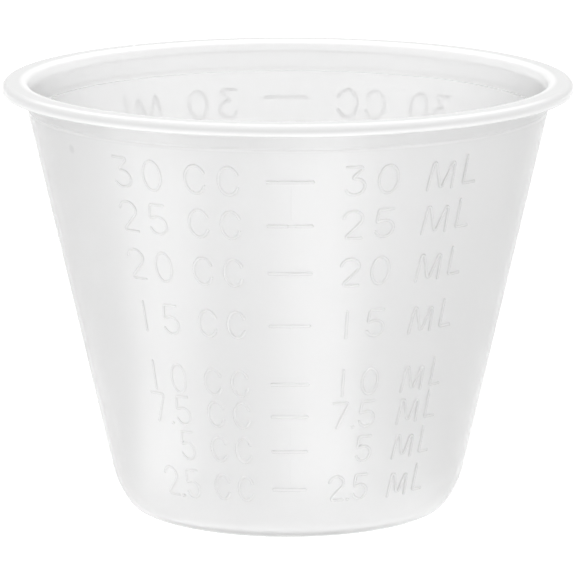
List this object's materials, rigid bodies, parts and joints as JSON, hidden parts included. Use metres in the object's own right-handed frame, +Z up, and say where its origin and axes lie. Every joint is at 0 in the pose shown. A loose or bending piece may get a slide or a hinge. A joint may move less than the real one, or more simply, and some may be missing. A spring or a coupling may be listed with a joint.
{
  "type": "medicine cup",
  "caption": "Small tapered cup of frosted plastic with a rounded lip, a fine groove at the neck, a stacking ledge inside and a raised volume scale, for measuring and giving liquid medicine.",
  "frame": {"origin": "centre of the foot ring, on the surface the cup stands on", "axes": "+Z up the cup's axis, -Y through the scale that faces the viewer"},
  "size_m": [0.0488, 0.0488, 0.037],
  "materials": {
    "frosted_polypropylene": "frosted translucent white, satin"
  },
  "bodies": {
    "root": {"medicine_cup": "frosted_polypropylene"}
  },
  "joints": []
}
